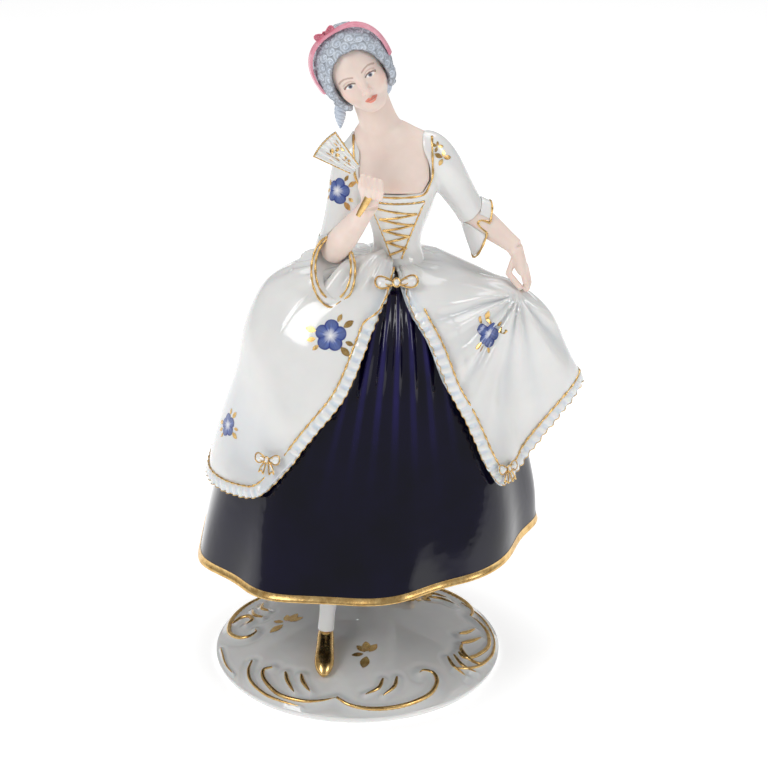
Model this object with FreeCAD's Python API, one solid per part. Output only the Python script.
import FreeCAD, Part
import math
import os

# A slip-cast porcelain lady in court dress, standing on a round scrolled plinth.
# Millimetres, +Z up, -Y is the front, origin on the shelf under the middle of the plinth.
# "Right" and "left" are the lady's own, so her right is -X.

V = FreeCAD.Vector

# Driving dimensions: plinth
BASE_DIAMETER = 139.0
BASE_HEIGHT = 17.0        # crown of the dome above the shelf
BASE_EDGE_HEIGHT = 3.2    # height of the widest line
BASE_WALL = 4.0
BASE_FLOOR = 2.5
FOOT_RING_WIDTH = 14.0    # solid clay between the hollow and the rim
VENT_DIAMETER = 5.0       # kiln vent through the floor and the crown into the hollow column
SCROLL_RADIUS = 1.5       # half width of the relief scrolls

# Driving dimensions: skirts
HEM_HEIGHT = 65.0
HEM_TILT = 6.0            # the hem rises this much towards the lady's left
HEM_HALF_WIDTH = 82.0
HEM_FRONT = 80.0
HEM_BACK = 79.0
HEM_CENTRE = V(3.5, 8.0, 0)
WAIST_HEIGHT = 206.0
WAIST_CENTRE = V(19.0, 0.0, 0)
WAIST_HALF_WIDTH = 12.0
WAIST_HALF_DEPTH = 10.0
SKIRT_WALL = 3.0
OVERSKIRT_WALL = 2.4
HEM_WAVE = 1.6            # depth of the soft folds at the hem

# Driving dimensions: figure
TORSO_HEIGHT = 66.0       # waist to the root of the neck
BODICE_WALL = 3.0
BUST_HALF_WIDTH = 19.0
BUST_HALF_DEPTH = 15.0
NECK_RADIUS = 7.6
NECK_LENGTH = 12.0
HEAD_HEIGHT = 34.0
HEAD_HALF_WIDTH = 13.0
HEAD_HALF_DEPTH = 15.2
HEAD_ROLL = 30.0          # degrees, towards the lady's right
HAIR_DEPTH = 4.8
RIBBON_WIDTH = 3.0
RIBBON_THICKNESS = 0.9
RIBBON_FORWARD = 2.0      # from the middle of the head to the back edge of the ribbon
SLEEVE_RADIUS = 7.6
FOREARM_RADIUS = 6.2
WRIST_RADIUS = 3.9
FINGER_RADIUS = 1.55
CUFF_WALL = 1.7
ANKLE_RADIUS = 4.2
CALF_RADIUS = 7.2
SHOE_HALF_WIDTH = 4.6
SHOE_LENGTH = 27.0
COLUMN_RADIUS = 8.0
COLUMN_WALL = 3.0
FAN_RADIUS = 29.0
FAN_THICKNESS = 1.8
FAN_OPENING = 34.0        # degrees between the two edges of the leaf
FAN_TURN = 139.0          # degrees from the lady's left to the middle of the leaf
BOW_LOOP = 9.0            # length of one loop of the waist bow
BOW_HALF_THICKNESS = 0.18  # of a bow, as a share of its loop
HEM_BOW_LOOP = 6.6
HAIR_BOW_LOOP = 4.5
HAIR_BOW_SHIFT = 3.0      # towards the lady's right of the crown
LACE_RADIUS = 0.55
STOMACHER_THICKNESS = 0.8
SEAM_GAP = 0.4            # the luting line between pieces that are cast apart and set side by side
PANEL_EASE = 0.5          # extra room that keeps the overskirt off the skirt between its stations

CHEST = WAIST_CENTRE + V(0, 0, WAIST_HEIGHT)

# Outline of the skirt from hem to waist: height share, then how far each side still stands out
# from the waist, as a share of what it stands out at the hem (right, left, front, back).
SKIRT_OUTLINE = [
    (0.00, 1.00, 1.00, 1.00, 1.00),
    (0.12, 0.97, 0.96, 0.90, 0.94),
    (0.28, 0.91, 0.87, 0.76, 0.885),
    (0.47, 0.84, 0.715, 0.60, 0.81),
    (0.64, 0.765, 0.59, 0.47, 0.74),
    (0.76, 0.725, 0.49, 0.38, 0.68),
    (0.87, 0.655, 0.36, 0.27, 0.56),
    (0.94, 0.50, 0.20, 0.18, 0.38),
    (0.98, 0.26, 0.08, 0.09, 0.17),
    (1.00, 0.03, 0.02, 0.02, 0.03),
]
SECTION_POINTS = 36
SKIRT_SECTIONS = 18
FOLDS = 9
WAIST_SHARE = 0.99        # height share where the overskirt begins
BACK_SEAM = 90.0          # angle of the seam where its two panels meet
SEAM_ANGLE = 1.0
HELD_SHARE = 0.885        # height share and lift of the overskirt where the left hand holds it
HELD_LIFT = 23.0


# ---------------------------------------------------------------- general shapes

def closed_wire(points):
    curve = Part.BSplineCurve()
    curve.interpolate(Points=points, PeriodicFlag=True)
    return Part.Wire([curve.toShape()])


def loft(wires):
    solid = Part.makeLoft(wires, True, False)
    if solid.Volume < 0:
        solid.reverse()
    return solid


def unit(v):
    return V(v).normalize()


def mix(a, b, share):
    return a + (b - a) * share


def ellipse_points(centre, along_x, along_y, rx, ry, count=16):
    angles = [2 * math.pi * i / count for i in range(count)]
    return [centre + along_x * (rx * math.cos(a)) + along_y * (ry * math.sin(a)) for a in angles]


def limb(stations, side=V(1, 0, 0)):
    """A tapering tube through stations of (point, half width along side, half depth)."""
    points = [s[0] for s in stations]
    wires = []
    for i, (point, rx, ry) in enumerate(stations):
        tangent = unit(points[min(i + 1, len(points) - 1)] - points[max(i - 1, 0)])
        x = unit(side - tangent * side.dot(tangent))
        y = tangent.cross(x)
        wires.append(closed_wire(ellipse_points(point, x, y, rx, ry)))
    return loft(wires)


def digit(points, radius):
    """A finger or a cord: a round rod bent at each of its points."""
    shape = Part.makeSphere(radius, points[0])
    for a, b in zip(points, points[1:]):
        shape = shape.fuse(Part.makeCylinder(radius, (b - a).Length, a, b - a))
        shape = shape.fuse(Part.makeSphere(radius, b))
    return shape


def thick_patch(grid, thickness):
    """A closed sheet: the outer surface goes through grid, and the inner one lies thickness behind it."""
    rows, cols = len(grid), len(grid[0])
    inner = []
    for i in range(rows):
        row = []
        for j in range(cols):
            down = grid[min(i + 1, rows - 1)][j] - grid[max(i - 1, 0)][j]
            across = grid[i][min(j + 1, cols - 1)] - grid[i][max(j - 1, 0)]
            row.append(grid[i][j] - unit(down.cross(across)) * thickness)
        inner.append(row)
    faces = []
    borders = []
    for net in (grid, inner):
        surface = Part.BSplineSurface()
        surface.interpolate(net)
        u0, u1, v0, v1 = surface.bounds()
        borders.append([surface.uIso(u0).toShape(), surface.vIso(v1).toShape(),
                        surface.uIso(u1).toShape(), surface.vIso(v0).toShape()])
        faces.append(surface.toShape())
    faces += [Part.makeRuledSurface(a, b) for a, b in zip(*borders)]
    shell = Part.makeShell(faces)
    shell.sewShape(1e-4)
    solid = Part.Solid(Part.Shell(shell.Faces))
    if solid.Volume < 0:
        solid.reverse()
    return solid


def largest(shape):
    """The main solid that a cut leaves, without any crumb."""
    return max(shape.Solids, key=lambda s: s.Volume)


def trimmed(shape, *others):
    """shape with everything that it is seated against taken off it."""
    for other in others:
        shape = shape.cut(other)
    return largest(shape)


# ---------------------------------------------------------------- skirts

def slope_at(xs, ys, i):
    """Slope of a smooth curve through the points that never runs past them."""
    if i == 0:
        return (ys[1] - ys[0]) / (xs[1] - xs[0])
    before = (ys[i] - ys[i - 1]) / (xs[i] - xs[i - 1])
    if i == len(xs) - 1:
        return before
    after = (ys[i + 1] - ys[i]) / (xs[i + 1] - xs[i])
    return 2 * before * after / (before + after) if before * after > 0 else 0.0


def smooth(xs, ys, x):
    k = 0
    while k < len(xs) - 2 and x > xs[k + 1]:
        k += 1
    step = xs[k + 1] - xs[k]
    u = (x - xs[k]) / step
    ends = ys[k] * (1 + 2 * u) * (1 - u) ** 2 + ys[k + 1] * u * u * (3 - 2 * u)
    slopes = slope_at(xs, ys, k) * u * (1 - u) ** 2 + slope_at(xs, ys, k + 1) * u * u * (u - 1)
    return ends + step * slopes


def outline_at(share):
    """How far the skirt stands out at a height share: right, left, front and back."""
    columns = list(zip(*SKIRT_OUTLINE))
    return [smooth(columns[0], column, share) for column in columns[1:]]


def skirt_point(angle, share, stand_off=0.0):
    """A point on the skirt's outside: angle in degrees from the lady's left, over her back."""
    right, left, front, back = outline_at(share)
    c, s = math.cos(math.radians(angle)), math.sin(math.radians(angle))
    wide = WAIST_HALF_WIDTH + (HEM_HALF_WIDTH - WAIST_HALF_WIDTH) * (left if c >= 0 else right)
    hem_depth = HEM_BACK if s >= 0 else HEM_FRONT
    deep = WAIST_HALF_DEPTH + (hem_depth - WAIST_HALF_DEPTH) * (back if s >= 0 else front)
    wave = HEM_WAVE * (1 - share) ** 1.5 * math.cos(math.radians(FOLDS * angle + 40))
    centre = mix(HEM_CENTRE, WAIST_CENTRE, share)
    reach = stand_off + wave
    out = (wide + reach) * c
    height = HEM_HEIGHT + (WAIST_HEIGHT - HEM_HEIGHT) * share + HEM_TILT * (1 - share) * out / HEM_HALF_WIDTH
    return V(centre.x + out, centre.y + (deep + reach) * s, height)


def skirt_body(stand_off):
    shares = [1 - (1 - i / (SKIRT_SECTIONS - 1)) ** 1.6 for i in range(SKIRT_SECTIONS)]
    turn = [360.0 * i / SECTION_POINTS for i in range(SECTION_POINTS)]
    return loft([closed_wire([skirt_point(a, s, stand_off) for a in turn]) for s in shares])


def make_skirt():
    """(the skirt's whole outer form, its hollow, the shell between them)"""
    outside = skirt_body(0.0)
    hollow = skirt_body(-SKIRT_WALL)
    hollow.translate(V(0, 0, -SKIRT_WALL))
    return outside, hollow, outside.cut(hollow)


def skirt_normal(angle, share):
    around = skirt_point(angle + 1, share) - skirt_point(angle - 1, share)
    rise = skirt_point(angle, min(1.0, share + 0.004)) - skirt_point(angle, share - 0.004)
    return unit(around.cross(rise))


def over_skirt(angle, share, lift):
    """A point over the skirt: the first few millimetres of lift go square to it, and the rest go level."""
    square = min(lift, 5.0)
    normal = skirt_normal(angle, share)
    return skirt_point(angle, share) + normal * square + unit(V(normal.x, normal.y, 0)) * (lift - square)


def overskirt_panel(columns, rows=16, steps_between=6):
    """A sheet through columns of (angle, share, lift off its seat on the skirt), from waist to hem."""
    seat = OVERSKIRT_WALL + SEAM_GAP + PANEL_EASE
    column_numbers = list(range(len(columns)))
    row_numbers = list(range(len(columns[0])))
    grid = []
    for i in range(rows):
        down = row_numbers[-1] * i / (rows - 1)
        across = [[smooth(row_numbers, [place[k] for place in column], down) for column in columns]
                  for k in range(3)]
        row = []
        for j in range(column_numbers[-1] * steps_between + 1):
            angle, share, lift = [smooth(column_numbers, values, j / steps_between) for values in across]
            row.append(over_skirt(angle, share, seat + lift))
        grid.append(row)
    return thick_patch(grid, OVERSKIRT_WALL)


def make_overskirt_right():
    """The right panel hangs over the hip, from the front opening round to the back seam."""
    shares = [WAIST_SHARE, 0.88, 0.77, 0.64, 0.53, 0.42]
    front_edge = [268, 263, 259.5, 254.5, 246, 238]
    hem = [(225, 0.29, 1.5), (205, 0.27, 2.5), (180, 0.27, 2.5), (152, 0.30, 2.0), (124, 0.26, 1.5),
           (BACK_SEAM, 0.28, 0)]
    columns = [[(angle, share, 0) for angle, share in zip(front_edge, shares)]]
    for number, (hem_angle, hem_share, puff) in enumerate(hem, 1):
        waist_angle = front_edge[0] + (BACK_SEAM - front_edge[0]) * number / len(hem)
        column = []
        for k in range(len(shares)):
            down = k / (len(shares) - 1)
            column.append((waist_angle + (hem_angle - waist_angle) * down,
                           WAIST_SHARE + (hem_share - WAIST_SHARE) * down, puff * math.sin(math.pi * down)))
        columns.append(column)
    columns.reverse()
    return overskirt_panel(columns)


def make_overskirt_left():
    """The left panel is drawn out to the hand, falls from there in a point, and runs to the back seam."""
    top = WAIST_SHARE
    front = [(276, top, 0), (284, 0.89, 0), (294, 0.79, 0), (302, 0.64, 0), (311, 0.50, 0), (315, 0.36, 0)]
    lobe = [(296, top, 0), (304, 0.89, 2), (309, 0.77, 3), (313, 0.60, 2), (316, 0.44, 1.5), (321, 0.28, 1)]
    valley = [(315, top, 0), (324, 0.92, 5), (330, 0.80, 7), (332, 0.63, 5), (335, 0.46, 3), (338, 0.31, 2)]
    held = [(345, top, 0), (350, 0.945, 9), (353, HELD_SHARE, HELD_LIFT), (355, 0.76, 29), (356, 0.65, 32),
            (357, 0.555, 33)]
    behind = [(375, top, 0), (377, 0.93, 6), (376, 0.84, 14), (374, 0.72, 17), (373, 0.58, 14), (374, 0.42, 9)]
    hip = [(408, top, 0), (404, 0.92, 2), (401, 0.82, 4), (399, 0.68, 5), (398, 0.50, 4), (398, 0.33, 2)]
    seam_angle = 360 + BACK_SEAM - SEAM_ANGLE
    seam = [(seam_angle, share, 0) for share in (top, 0.88, 0.77, 0.64, 0.45, 0.28)]
    return overskirt_panel([front, lobe, valley, held, behind, hip, seam])


# ---------------------------------------------------------------- plinth, legs and column

def dome_height(radius):
    """Height of the plinth's top at this distance from the middle."""
    share = min(1.0, radius / (BASE_DIAMETER / 2))
    return BASE_EDGE_HEIGHT + (BASE_HEIGHT - BASE_EDGE_HEIGHT) * math.cos(share * math.pi / 2) ** 0.8


def dome_profile(outer_radius, drop):
    radii = [outer_radius * math.sin(math.pi / 2 * k / 7) for k in range(8)]
    curve = Part.BSplineCurve()
    curve.interpolate([V(r, 0, dome_height(r) - drop) for r in radii])
    return curve.toShape()


def make_base():
    """A hollow dome with a flat floor, vented into the column."""
    radius = BASE_DIAMETER / 2
    crown, rim, centre = V(0, 0, dome_height(0)), V(radius, 0, dome_height(radius)), V(0, 0, 0)
    foot = V(radius - BASE_EDGE_HEIGHT / 2, 0, 0)
    outline = Part.Wire([dome_profile(radius, 0.0), Part.makeLine(rim, foot), Part.makeLine(foot, centre),
                         Part.makeLine(centre, crown)])
    body = Part.Face(outline).revolve(centre, V(0, 0, 1), 360)
    hollow_radius = radius - FOOT_RING_WIDTH
    edge = V(hollow_radius, 0, dome_height(hollow_radius) - BASE_WALL)
    corner, middle = V(hollow_radius, 0, BASE_FLOOR), V(0, 0, BASE_FLOOR)
    outline = Part.Wire([dome_profile(hollow_radius, BASE_WALL), Part.makeLine(edge, corner),
                         Part.makeLine(corner, middle), Part.makeLine(middle, V(0, 0, crown.z - BASE_WALL))])
    hollow = Part.Face(outline).revolve(centre, V(0, 0, 1), 360)
    vent = Part.makeCylinder(VENT_DIAMETER / 2, BASE_HEIGHT + 2, COLUMN_FOOT + V(0, 0, -1))
    return body.cut(hollow).cut(vent)


def on_plinth(angle, radius, sink=0.0):
    a = math.radians(angle)
    return V(radius * math.cos(a), radius * math.sin(a), dome_height(radius) - sink)


def scroll(start_angle, sweep, radius, hook):
    """Stations of one relief C scroll that runs round the rim and hooks inwards at its end."""
    stations = []
    steps = 7
    for k in range(steps):
        share = k / (steps - 1)
        reach = radius - hook * share ** 3
        size = SCROLL_RADIUS * (0.35 + 0.65 * math.sin(math.pi * min(1.0, 0.2 + share * 0.7)))
        stations.append((on_plinth(start_angle + sweep * share, reach, size * 0.35), size, size))
    return stations


SCROLLS = [(266, -52, 60, 15), (252, -52, 66, 9), (268, 44, 60, 17), (338, -22, 63, 8), (344, 34, 63, 12),
           (188, -30, 63, 10), (30, 40, 62, 13), (80, 38, 62, 13), (128, 28, 62, 10)]


def make_scrolls(base):
    ridges = [limb(scroll(*place), V(0, 0, 1)).cut(base) for place in SCROLLS]
    return Part.Compound([max(r.Solids, key=lambda s: s.Volume) for r in ridges])


RIGHT_ANKLE = V(-15.0, -25.0, dome_height(29) + 11)
LEFT_ANKLE = V(17.0, 42.0, dome_height(45) + 9)
COLUMN_FOOT = V(7.0, 27.0, 0)


def make_leg(ankle, hip):
    knee = mix(ankle, hip, 0.42)
    calf = mix(ankle, hip, 0.24)
    stations = [(ankle, ANKLE_RADIUS), (mix(ankle, calf, 0.5), ANKLE_RADIUS * 1.17),
                (calf, CALF_RADIUS * 0.96), (knee, CALF_RADIUS * 0.95),
                (mix(knee, hip, 0.5), CALF_RADIUS * 1.25), (hip, CALF_RADIUS * 1.3)]
    return limb([(place, radius, radius) for place, radius in stations])


def make_shoe(ankle, heading, base, leg):
    """A low court shoe with a small heel; heading is the way that its toe points."""
    way = V(math.cos(math.radians(heading)), math.sin(math.radians(heading)), 0)
    side = V(-way.y, way.x, 0)
    def ground(reach):
        p = ankle + way * reach
        return V(p.x, p.y, dome_height(math.hypot(p.x, p.y)))
    back = ground(-ANKLE_RADIUS * 0.6) + V(0, 0, 8.5)
    ball, toe = ground(SHOE_LENGTH * 0.62) + V(0, 0, 3.4), ground(SHOE_LENGTH * 0.8) + V(0, 0, 2.1)
    stations = [(back, 3.3, 3.6), (mix(back, ball, 0.3), SHOE_HALF_WIDTH * 0.9, 4.4),
                (mix(back, ball, 0.7), SHOE_HALF_WIDTH, 3.9), (ball, SHOE_HALF_WIDTH * 0.94, 3.1),
                (mix(ball, toe, 0.6), SHOE_HALF_WIDTH * 0.66, 2.3), (toe, 1.2, 1.1)]
    upper = limb(stations, side)
    heel_top = back + way * 1.5
    heel_foot = ground(-ANKLE_RADIUS * 0.3) + V(0, 0, -1)
    heel = Part.makeCone(2.2, 3.0, heel_top.z - heel_foot.z, heel_foot)
    return trimmed(upper.fuse(heel), base, leg)


def make_column(base, room):
    """A hollow post that carries the skirt's crown on the plinth."""
    post = Part.makeCylinder(COLUMN_RADIUS, WAIST_HEIGHT, COLUMN_FOOT)
    bore = Part.makeCylinder(COLUMN_RADIUS - COLUMN_WALL, WAIST_HEIGHT, COLUMN_FOOT)
    return largest(post.cut(bore).common(room).cut(base))


def room_under_skirt(skirt_hollow):
    """The room under the skirt, down to the shelf."""
    room = Part.makeCylinder(HEM_FRONT - 2 * SKIRT_WALL, HEM_HEIGHT, V(HEM_CENTRE.x, HEM_CENTRE.y, 0))
    return skirt_hollow.fuse(room)


# ---------------------------------------------------------------- torso, head and hair

def torso(stand_off):
    """The lady's trunk from the waist to the root of the neck, leaning towards her right."""
    h = TORSO_HEIGHT
    rows = [(0.0, 0, 0, WAIST_HALF_WIDTH + 1, WAIST_HALF_DEPTH + 1),
            (0.08 * h, 0, 0, WAIST_HALF_WIDTH - 0.5, WAIST_HALF_DEPTH - 0.5),
            (0.16 * h, 0, 0, WAIST_HALF_WIDTH - 1, WAIST_HALF_DEPTH - 1),
            (0.32 * h, 0.3, -0.5, BUST_HALF_WIDTH * 0.72, BUST_HALF_DEPTH * 0.72),
            (0.48 * h, 0.3, -1.5, BUST_HALF_WIDTH * 0.90, BUST_HALF_DEPTH * 0.92),
            (0.60 * h, -0.3, -2.0, BUST_HALF_WIDTH, BUST_HALF_DEPTH),
            (0.73 * h, -1.8, -0.3, BUST_HALF_WIDTH * 1.03, BUST_HALF_DEPTH * 0.80),
            (0.85 * h, -3.2, 1.0, BUST_HALF_WIDTH * 1.00, BUST_HALF_DEPTH * 0.63),
            (0.94 * h, -4.6, 1.8, BUST_HALF_WIDTH * 0.82, BUST_HALF_DEPTH * 0.54),
            (1.00 * h, -6.0, 2.0, BUST_HALF_WIDTH * 0.50, BUST_HALF_DEPTH * 0.48)]
    x, y = V(1, 0, 0), V(0, 1, 0)
    wires = [closed_wire(ellipse_points(CHEST + V(dx, dy, z), x, y, a + stand_off, b + stand_off, 20))
             for z, dx, dy, a, b in rows]
    return loft(wires)


NECK_ROOT = CHEST + V(-6.3, 1.5, TORSO_HEIGHT - 3)
HEAD_UP = unit(V(-math.sin(math.radians(HEAD_ROLL)), -0.06, math.cos(math.radians(HEAD_ROLL))))
FACE_WAY = unit(V(0.05, -1.0, 0.14) - HEAD_UP * HEAD_UP.dot(V(0.05, -1.0, 0.14)))
HEAD_SIDE = HEAD_UP.cross(FACE_WAY)
HEAD_CENTRE = NECK_ROOT + V(-12.0, -5.0, NECK_LENGTH + 16.5)


def neckline():
    """The square neck opening, cut from the front through to the back of the neck."""
    h = TORSO_HEIGHT
    corners = [CHEST + V(-14.5, -60, 0.57 * h), CHEST + V(11.5, -60, 0.57 * h), CHEST + V(15.0, -60, 0.64 * h),
               CHEST + V(14.0, -60, 1.3 * h), CHEST + V(-22.0, -60, 1.3 * h), CHEST + V(-17.5, -60, 0.64 * h)]
    face = Part.Face(Part.makePolygon(corners + corners[:1]))
    return face.extrude(V(0, 60 + NECK_RADIUS * 0.6, 0))


def make_neck():
    top = HEAD_CENTRE - HEAD_UP * (HEAD_HEIGHT * 0.30) + FACE_WAY * -2.5
    stations = [(NECK_ROOT + V(0.8, 0.5, -4), NECK_RADIUS * 1.15, NECK_RADIUS),
                (mix(NECK_ROOT, top, 0.35), NECK_RADIUS, NECK_RADIUS * 0.95),
                (mix(NECK_ROOT, top, 0.7), NECK_RADIUS * 0.95, NECK_RADIUS * 0.95),
                (top, NECK_RADIUS, NECK_RADIUS)]
    return limb(stations)


def ovoid(rows, centre, stand_off=0.0):
    """A lofted egg along the head's own axis: rows of (height, forward shift, half width, half depth)."""
    wires = []
    for height, forward, rx, ry in rows:
        middle = centre + HEAD_UP * height + FACE_WAY * forward
        wires.append(closed_wire(ellipse_points(middle, HEAD_SIDE, FACE_WAY, rx + stand_off, ry + stand_off)))
    return loft(wires)


def make_head(neck):
    h, w, d = HEAD_HEIGHT / 2, HEAD_HALF_WIDTH, HEAD_HALF_DEPTH
    rows = [(-h, 6.8, 1.2, 1.2), (-0.92 * h, 6.0, 0.36 * w, 0.38 * d), (-0.66 * h, 3.2, 0.68 * w, 0.66 * d),
            (-0.3 * h, 0.6, 0.92 * w, 0.92 * d), (0.1 * h, -0.6, w, d), (0.45 * h, -0.8, 0.94 * w, 0.96 * d),
            (0.75 * h, -1.0, 0.72 * w, 0.74 * d), (0.93 * h, -1.0, 0.40 * w, 0.42 * d), (h, -1.0, 1.2, 1.2)]
    skull = ovoid(rows, HEAD_CENTRE)
    brow = HEAD_CENTRE + FACE_WAY * (d * 0.86) + HEAD_UP * 1.0
    tip = HEAD_CENTRE + FACE_WAY * (d + 2.4) - HEAD_UP * 4.6
    nose = limb([(brow, 0.9, 0.8), (mix(brow, tip, 0.6), 1.4, 1.2), (tip, 1.7, 1.3),
                 (tip - HEAD_UP * 1.0, 0.5, 0.4)], HEAD_SIDE)
    return trimmed(skull.fuse(nose), neck)


def wig(stand_off):
    """The outer form of the dressed hair, or a form that stands off it."""
    h, w, d = HEAD_HEIGHT / 2, HEAD_HALF_WIDTH, HEAD_HALF_DEPTH
    top = h + HAIR_DEPTH + stand_off
    rows = [(-0.80 * h, -6.0, 0.40 * w, 0.30 * d), (-0.4 * h, -3.8, 0.90 * w, 0.74 * d),
            (0.0, -2.6, w, 0.88 * d), (0.40 * top, -1.8, 0.99 * w, 0.95 * d),
            (0.72 * top, -1.2, 0.78 * w, 0.80 * d),
            (0.92 * top, -1.0, 0.42 * w, 0.46 * d), (top, -1.0, -0.24 * w, -0.18 * d)]
    return ovoid(rows, HEAD_CENTRE, HAIR_DEPTH + stand_off)


def make_hair(head, neck, torso_body):
    """A cap over the skull that frames the face and is drawn together at the nape."""
    h, w, d = HEAD_HEIGHT / 2, HEAD_HALF_WIDTH, HEAD_HALF_DEPTH
    front = HEAD_CENTRE + FACE_WAY * (d * 3) - HEAD_UP * (0.22 * h)
    back = HEAD_CENTRE + FACE_WAY * (d * 0.35) - HEAD_UP * (0.22 * h)
    face_opening = limb([(front, w * 0.88, h * 0.88), (back, w * 0.88, h * 0.88)], HEAD_SIDE)
    return trimmed(wig(0.0), face_opening, head, neck, torso_body)


def make_ringlet(side_sign, head, neck, hair, torso_body):
    """A long curl that falls from the nape beside the neck."""
    top = (HEAD_CENTRE + HEAD_SIDE * (side_sign * HEAD_HALF_WIDTH * 0.86) - HEAD_UP * (HEAD_HEIGHT * 0.22)
           - FACE_WAY * 4)
    foot = V(top.x - 1.0 + side_sign * -0.5, top.y + 1.5, top.z - 16)
    stations = [(top, 2.6, 2.6), (mix(top, foot, 0.35) + V(side_sign * 0.8, 0, 0), 2.9, 2.9),
                (mix(top, foot, 0.7), 2.2, 2.2), (foot, 0.9, 0.9)]
    return trimmed(limb(stations), neck, head, hair, torso_body)


def make_ribbon():
    """A narrow silk band over the crown, from ear to ear."""
    reach = 2 * HEAD_HEIGHT
    corner = HEAD_CENTRE - HEAD_SIDE * reach + FACE_WAY * RIBBON_FORWARD
    across = HEAD_SIDE * (2 * reach)
    rise = HEAD_UP * reach
    outline = Part.makePolygon([corner, corner + across, corner + across + rise, corner + rise, corner])
    slab = Part.Face(outline).extrude(FACE_WAY * RIBBON_WIDTH)
    return trimmed(wig(RIBBON_THICKNESS).common(slab), wig(0.0))


def bow(centre, along, up, loop):
    """A ribbon bow: two flat loops and a knot. along is the way of its wings, up the way it stands."""
    thin = loop * BOW_HALF_THICKNESS
    knot = [(-0.24, 0.12, 0.6), (-0.1, 0.2, 1.0), (0.1, 0.2, 1.0), (0.24, 0.12, 0.6)]
    wing = [(0.0, 0.0, 0.14, 0.6), (0.45, 0.0, 0.34, 1.0), (0.85, 0.08, 0.42, 1.0), (1.08, 0.08, 0.26, 0.6)]
    shape = limb([(centre + up * (loop * rise), loop * wide, thin * deep) for rise, wide, deep in knot], along)
    for sign in (-1, 1):
        stations = [(centre + along * (sign * loop * reach) + up * (loop * rise), loop * wide, thin * deep)
                    for reach, rise, wide, deep in wing]
        shape = shape.fuse(limb(stations, up))
    return shape


# ---------------------------------------------------------------- arms, hands and fan

RIGHT_SHOULDER = CHEST + V(-19.0, 1.0, 0.77 * TORSO_HEIGHT)
RIGHT_ELBOW = RIGHT_SHOULDER + V(-10.5, -8.0, -44.0)
RIGHT_WRIST = RIGHT_ELBOW + V(17.5, -28.0, 33.5)
LEFT_SHOULDER = CHEST + V(16.5, 1.0, 0.79 * TORSO_HEIGHT)
LEFT_ELBOW = LEFT_SHOULDER + V(18.0, 5.0, -31.0)
LEFT_WRIST = LEFT_ELBOW + V(20.0, -9.0, -13.5)
PINCH = over_skirt(353, HELD_SHARE, HELD_LIFT + OVERSKIRT_WALL + SEAM_GAP + PANEL_EASE) + V(0, 0, 1.0)
FAN_PIVOT = RIGHT_WRIST + V(1.0, -5.5, 8.0)


def make_sleeve(shoulder, elbow, inwards):
    r = SLEEVE_RADIUS
    return limb([(shoulder + V(inwards * 8.0, 0.5, 5.5), r * 0.60, r * 0.60),
                 (shoulder + V(inwards * 3.5, 0, 3.5), r * 0.98, r * 0.95),
                 (mix(shoulder, elbow, 0.12), r * 1.18, r * 1.15),
                 (mix(shoulder, elbow, 0.35), r * 1.15, r * 1.12),
                 (mix(shoulder, elbow, 0.65), r, r), (elbow, r * 0.94, r * 0.94)])


def make_forearm(elbow, wrist, thickness):
    r = FOREARM_RADIUS * thickness
    lower = r + (WRIST_RADIUS - r) * 0.6
    return limb([(elbow, r * 0.96, r * 0.96), (mix(elbow, wrist, 0.35), r, r),
                 (mix(elbow, wrist, 0.7), lower, lower), (wrist, WRIST_RADIUS, WRIST_RADIUS)])


def make_cuff(start, mouth, across, along, half_width, half_length):
    """A flared cuff from the round end of the sleeve to an open oval mouth that across and along span."""
    outward = along.cross(across)
    start_radius = SLEEVE_RADIUS * 0.94
    shells = []
    for inset in (0.0, CUFF_WALL):
        wires = []
        for share in (0.0, 0.35, 0.7, 1.0):
            middle = mix(start, mouth, share) + outward * (inset if share in (0.0, 1.0) else 0.0)
            wide = start_radius + (half_width - start_radius) * share ** 0.8 - inset
            long = start_radius + (half_length - start_radius) * share ** 0.8 - inset
            wires.append(closed_wire(ellipse_points(middle, across, along, wide, long)))
        shells.append(loft(wires))
    return shells[0].cut(shells[1])


def make_hand(wrist, knuckles, palm_side, digits):
    """A palm from the wrist to the knuckles, with each finger and the thumb as a bent rod."""
    r = WRIST_RADIUS
    hand = limb([(wrist, r * 0.85, r * 0.95), (mix(wrist, knuckles, 0.4), r * 0.8, r * 1.15),
                 (mix(wrist, knuckles, 0.8), r * 0.72, r * 1.35), (knuckles, r * 0.5, r * 1.2)], palm_side)
    for k, points in enumerate(digits):
        hand = hand.fuse(digit(points, FINGER_RADIUS - 0.03 * k))
    return hand


def make_right_hand():
    """The hand is closed round the sticks of the fan."""
    knuckles = RIGHT_WRIST + V(0.0, -2.0, 12.0)
    digits = []
    for k in range(4):
        root = knuckles + V(-3.6 + 2.4 * k, -0.4, 0.2 - 0.8 * k)
        digits.append([root, root + V(0.6, -2.8, 2.2), root + V(0.9, -4.6, -1.4), root + V(0.5, -3.2, -5.0)])
    thumb = [V(-2.0, -1.8, 4.5), V(-4.2, -3.4, 9.0), V(-3.6, -4.6, 13.0)]
    digits.append([RIGHT_WRIST + joint for joint in thumb])
    return make_hand(RIGHT_WRIST, knuckles, V(0.15, -1, 0), digits)


def make_left_hand():
    """The hand hangs from the wrist and pinches the top edge of the overskirt."""
    knuckles = LEFT_WRIST + V(3.2, -1.5, -12.0)
    digits = []
    for k in range(4):
        root = knuckles + V(1.2 - 0.4 * k, 3.3 - 2.2 * k, 2.4)
        digits.append([root, root + V(1.3, 0.2, -5.5), mix(root, PINCH, 0.72) + V(2.2, 0.4 - 0.3 * k, 0),
                       PINCH + V(1.4, 2.6 - 1.6 * k, 1.0)])
    digits.append([LEFT_WRIST + V(-0.8, -1.6, -4.5), LEFT_WRIST + V(-3.4, -3.6, -11.5),
                   PINCH + V(-1.6, -1.6, 1.6)])
    return make_hand(LEFT_WRIST, knuckles, V(1, 0, 0.2), digits)


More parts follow.
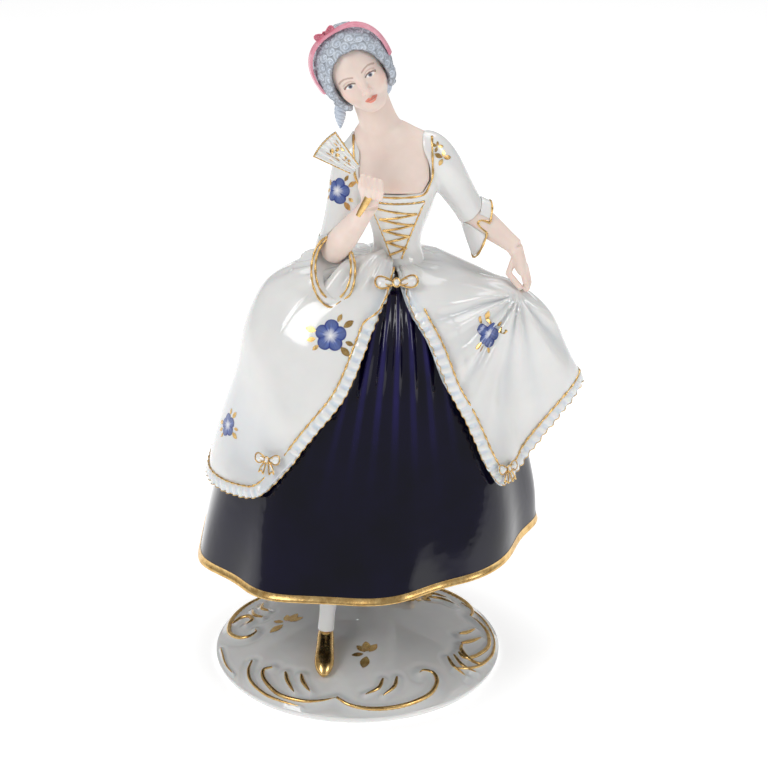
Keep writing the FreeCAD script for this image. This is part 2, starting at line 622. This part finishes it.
def make_fan(hand):
    """The leaf of a half-open fan, held flat in front of the right shoulder."""
    pleats = 8
    near, far = [], []
    for k in range(pleats + 1):
        a = math.radians(FAN_TURN + FAN_OPENING * (k / pleats - 0.5))
        way = V(math.cos(a), -0.06, math.sin(a))
        crease = V(0, 0.55 if k % 2 else -0.55, 0)
        near.append(FAN_PIVOT + way * (FAN_RADIUS * 0.30) + crease * 0.4)
        far.append(FAN_PIVOT + way * FAN_RADIUS + crease)
    grid = [near, [mix(a, b, 0.5) for a, b in zip(near, far)], far]
    return trimmed(thick_patch(grid, FAN_THICKNESS), hand)


def make_fan_guard(hand):
    """The folded sticks that come out below the hand."""
    a = math.radians(FAN_TURN)
    way = V(math.cos(a), 0, math.sin(a))
    top = FAN_PIVOT - way * 1.0 + V(-1, 1, 0)
    foot = FAN_PIVOT + V(-6.5, 1.0, -12.0)
    sticks = limb([(top, 1.7, 0.9), (mix(top, foot, 0.5), 1.6, 0.9), (foot, 1.1, 0.8)], V(1, 0, 0.5))
    return trimmed(sticks, hand)


# ---------------------------------------------------------------- bodice trim

def make_stomacher(trunk, proud):
    """The laced V in the front of the bodice."""
    h = TORSO_HEIGHT
    corners = [CHEST + V(-12.5, -60, 0.5 * h), CHEST + V(12.0, -60, 0.5 * h), CHEST + V(2.2, -60, 0.07 * h),
               CHEST + V(-2.2, -60, 0.07 * h)]
    face = Part.Face(Part.makePolygon(corners + corners[:1]))
    return largest(proud.cut(trunk).common(face.extrude(V(0, 60, 0))))


def front_of(body, x, z):
    """Where a lace lies on the front of a body, at this place across and up."""
    needle = Part.makeLine(V(x, -200, z), V(x, 0, z))
    return V(x, body.common(needle).BoundBox.YMin - LACE_RADIUS * 0.8, z)


def make_lacing(face, stomacher):
    """Gold cords that cross the stomacher in a zigzag."""
    h = TORSO_HEIGHT
    crossings = 8
    ends = []
    for k in range(crossings + 1):
        height = (0.46 - 0.36 * k / crossings) * h
        half = 1.6 + 8.4 * (height / (0.5 * h))
        ends.append(front_of(face, CHEST.x + half * (1 if k % 2 else -1), CHEST.z + height))
    route = ends[:1]
    for a, b in zip(ends, ends[1:]):
        route += [front_of(face, (a.x + b.x) / 2, (a.z + b.z) / 2), b]
    return trimmed(digit(route, LACE_RADIUS), stomacher)


# ---------------------------------------------------------------- build

def skirt_bow(angle, share, lift, tilt, loop):
    """A bow pressed on the overskirt where the cloth lifts this far, turned tilt degrees in its plane."""
    normal = skirt_normal(angle, share)
    level = unit(V(-normal.y, normal.x, 0))
    rise = normal.cross(level)
    c, s = math.cos(math.radians(tilt)), math.sin(math.radians(tilt))
    seat = OVERSKIRT_WALL + PANEL_EASE + 1.5 * SEAM_GAP + lift + loop * BOW_HALF_THICKNESS
    return bow(over_skirt(angle, share, seat), level * c + rise * s, rise * c - level * s, loop)


def make_lower_figure(parts):
    """Plinth, legs, shoes, column, skirt and overskirt; returns the skirt's whole outer form."""
    outside, hollow, parts["skirt"] = make_skirt()
    base = parts["base"] = make_base()
    parts["base_scrolls"] = make_scrolls(base)
    room = room_under_skirt(hollow)
    for name, ankle, hip, heading in (("right", RIGHT_ANKLE, CHEST + V(-17, -6, -2), 268),
                                      ("left", LEFT_ANKLE, CHEST + V(17, 0, -2), -60)):
        leg = parts[name + "_leg"] = largest(make_leg(ankle, hip).common(room))
        parts[name + "_shoe"] = make_shoe(ankle, heading, base, leg)
    parts["support_column"] = make_column(base, room)
    parts["overskirt_right"] = make_overskirt_right()
    parts["overskirt_left"] = make_overskirt_left()
    parts["hem_bow_right"] = skirt_bow(230, 0.42, 1.2, 8, HEM_BOW_LOOP)
    parts["hem_bow_left"] = skirt_bow(323, 0.33, 1.6, -8, HEM_BOW_LOOP)
    parts["waist_bow"] = skirt_bow(271, 0.955, 0.0, 2, BOW_LOOP)
    return outside


def make_upper_figure(parts, outside):
    """Bodice, bust, head, hair, arms, hands and fan."""
    trunk, lining, opening, neck = torso(0.0), torso(-BODICE_WALL), neckline(), make_neck()
    parts["bodice"] = trimmed(trunk, lining, opening, neck, outside)
    parts["bust"] = largest(trunk.common(opening).fuse(neck).cut(lining))
    proud = torso(STOMACHER_THICKNESS)
    stomacher = parts["stomacher"] = make_stomacher(trunk, proud)
    parts["lacing"] = make_lacing(proud, stomacher)

    head = parts["head"] = make_head(neck)
    hair = parts["hair"] = make_hair(head, neck, trunk)
    ribbon = parts["hair_ribbon"] = make_ribbon()
    crown = (HEAD_CENTRE + HEAD_UP * (HEAD_HEIGHT / 2 + HAIR_DEPTH + RIBBON_THICKNESS)
             - HEAD_SIDE * HAIR_BOW_SHIFT + FACE_WAY * (RIBBON_FORWARD + RIBBON_WIDTH / 2))
    parts["hair_bow"] = trimmed(bow(crown, HEAD_SIDE, HEAD_UP, HAIR_BOW_LOOP), hair, ribbon)
    parts["ringlet_right"] = make_ringlet(-1, head, neck, hair, trunk)
    parts["ringlet_left"] = make_ringlet(1, head, neck, hair, trunk)

    arms = (("right", RIGHT_SHOULDER, RIGHT_ELBOW, RIGHT_WRIST, 1, 1.0, make_right_hand),
            ("left", LEFT_SHOULDER, LEFT_ELBOW, LEFT_WRIST, -1, 0.94, make_left_hand))
    cuffs = {"right": make_cuff(RIGHT_ELBOW + V(0, 4, 4), RIGHT_ELBOW + V(0.5, -12.5, -4.5), V(1, 0, 0),
                                unit(V(0, -0.42, -1)), 10.0, 16.5),
             "left": make_cuff(LEFT_ELBOW + V(-3.0, 1.0, 2), LEFT_ELBOW + V(4.5, -1.0, -7.5),
                               unit(V(-0.25, 1, 0)), unit(V(-0.3, -0.05, -1)), 8.5, 14.0)}
    for name, shoulder, elbow, wrist, inwards, thickness, hand in arms:
        forearm = parts[name + "_forearm"] = make_forearm(elbow, wrist, thickness)
        sleeve = make_sleeve(shoulder, elbow, inwards)
        parts[name + "_sleeve"] = trimmed(sleeve, trunk, neck, forearm)
        parts[name + "_cuff"] = trimmed(cuffs[name], sleeve, trunk, forearm, parts["overskirt_" + name])
        parts[name + "_hand"] = trimmed(hand(), forearm)
    fan = parts["fan"] = make_fan(parts["right_hand"])
    parts["fan_guard"] = trimmed(make_fan_guard(parts["right_hand"]), fan)


def main():
    parts = {}
    outside = make_lower_figure(parts)
    make_upper_figure(parts, outside)
    os.makedirs("parts", exist_ok=True)
    for name, shape in parts.items():
        shape.exportStep("parts/" + name + ".step")
        print(name, shape.isValid(), len(shape.Solids), round(shape.Volume))


main()
